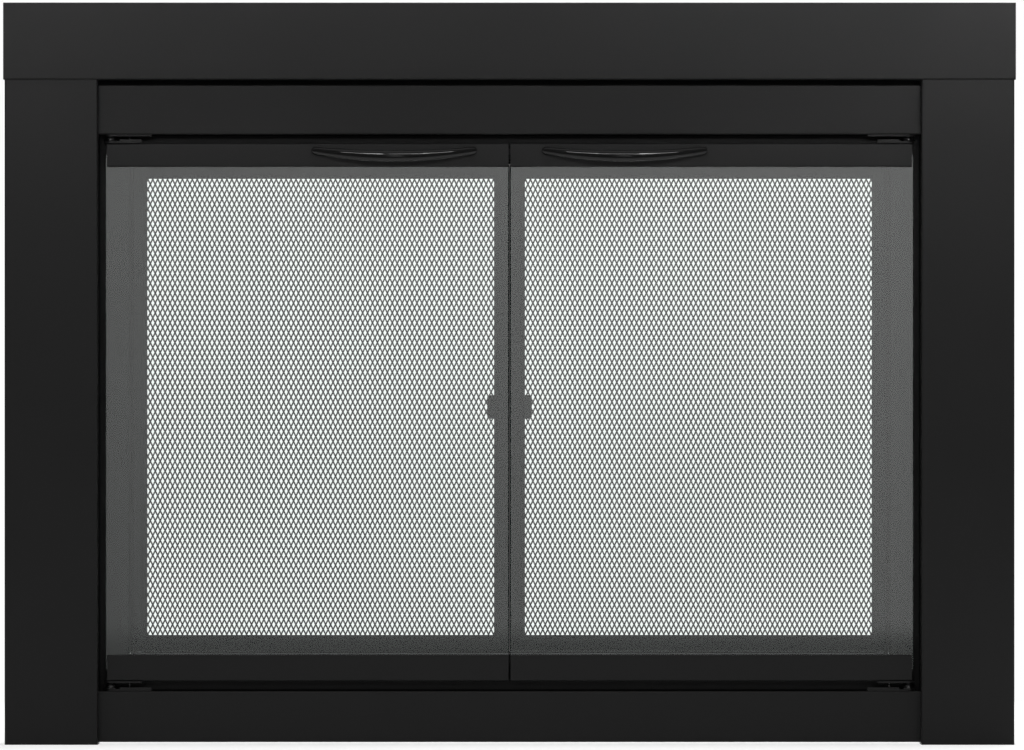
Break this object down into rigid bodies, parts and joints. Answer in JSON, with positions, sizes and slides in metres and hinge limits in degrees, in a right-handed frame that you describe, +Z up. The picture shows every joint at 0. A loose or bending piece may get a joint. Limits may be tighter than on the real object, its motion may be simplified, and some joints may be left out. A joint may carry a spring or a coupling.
{
  "type": "fireplace glass door",
  "caption": "Cabinet-style fireplace glass door with hinged glass doors, bow handles and hinged mesh gates behind them, in a folded sheet-steel surround.",
  "frame": {"origin": "bottom centre of the whole object's bounding box, on the hearth", "axes": "+X to the right seen from the front, +Y into the fireplace, +Z up; the doors and handles face -Y"},
  "size_m": [1.105, 0.116, 0.81],
  "materials": {
    "black_sheet": "satin black powder coat",
    "gloss_black": "gloss black enamel",
    "matt_black": "matt black heat-proof paint",
    "door_glass": "clear tempered glass with polished edges",
    "gasket": "woven glass-fibre tape",
    "zinc_steel": "zinc plated",
    "dark_pin": "phosphated dark",
    "magnet": "ground ferrite"
  },
  "bodies": {
    "frame": {"header": "black_sheet", "left_post": "black_sheet", "right_post": "black_sheet", "lintel_panel": "black_sheet", "sill_panel": "black_sheet", "left_side_stop": "matt_black", "right_side_stop": "matt_black", "top_stop": "matt_black", "bottom_stop": "matt_black", "left_post_bracket": "zinc_steel", "right_post_bracket": "zinc_steel", "frame_screws": "zinc_steel", "left_top_pivot_bracket": "black_sheet", "right_top_pivot_bracket": "black_sheet", "left_bottom_pivot_bracket": "black_sheet", "right_bottom_pivot_bracket": "black_sheet", "pivot_bracket_screws": "zinc_steel", "lower_pivot_bolts": "zinc_steel", "lower_pivot_bushes": "gloss_black", "magnet_catch": "gloss_black", "catch_magnets": "magnet", "left_lintel_clamp": "zinc_steel", "right_lintel_clamp": "zinc_steel", "clamp_bolts": "zinc_steel", "clamp_nuts": "zinc_steel", "left_hearth_bracket": "zinc_steel", "right_hearth_bracket": "zinc_steel", "bracket_screws": "zinc_steel"},
    "left_door": {"left_door_top_rail": "black_sheet", "left_door_bottom_rail": "black_sheet", "left_door_glass": "door_glass", "left_door_gaskets": "gasket", "left_door_clamp_strips": "black_sheet", "left_door_clamp_screws": "zinc_steel", "left_door_handle": "gloss_black", "left_door_handle_screws": "zinc_steel", "left_door_hinge_plates": "black_sheet", "left_door_hinge_screws": "zinc_steel", "left_door_pivot_bolt": "zinc_steel", "left_door_pivot_bush": "gloss_black"},
    "right_door": {"right_door_top_rail": "black_sheet", "right_door_bottom_rail": "black_sheet", "right_door_glass": "door_glass", "right_door_gaskets": "gasket", "right_door_clamp_strips": "black_sheet", "right_door_clamp_screws": "zinc_steel", "right_door_handle": "gloss_black", "right_door_handle_screws": "zinc_steel", "right_door_hinge_plates": "black_sheet", "right_door_hinge_screws": "zinc_steel", "right_door_pivot_bolt": "zinc_steel", "right_door_pivot_bush": "gloss_black"},
    "left_gate": {"left_gate_frame": "matt_black", "left_gate_mesh": "matt_black", "left_gate_pull": "matt_black", "left_gate_pivots": "dark_pin"},
    "right_gate": {"right_gate_frame": "matt_black", "right_gate_mesh": "matt_black", "right_gate_pull": "matt_black", "right_gate_pivots": "dark_pin"}
  },
  "joints": [
    {"name": "left_door_hinge", "type": "hinge", "parent": "frame", "child": "left_door", "pos_m": [-0.436, -0.0288, 0.363], "axis": [0, 0, -1], "range_deg": [0, 100]},
    {"name": "right_door_hinge", "type": "hinge", "parent": "frame", "child": "right_door", "pos_m": [0.436, -0.0288, 0.363], "axis": [0, 0, 1], "range_deg": [0, 100]},
    {"name": "left_gate_hinge", "type": "hinge", "parent": "frame", "child": "left_gate", "pos_m": [-0.406, -0.01, 0.3677], "axis": [0, 0, 1], "range_deg": [0, 85]},
    {"name": "right_gate_hinge", "type": "hinge", "parent": "frame", "child": "right_gate", "pos_m": [0.406, -0.01, 0.3677], "axis": [0, 0, -1], "range_deg": [0, 85]}
  ]
}
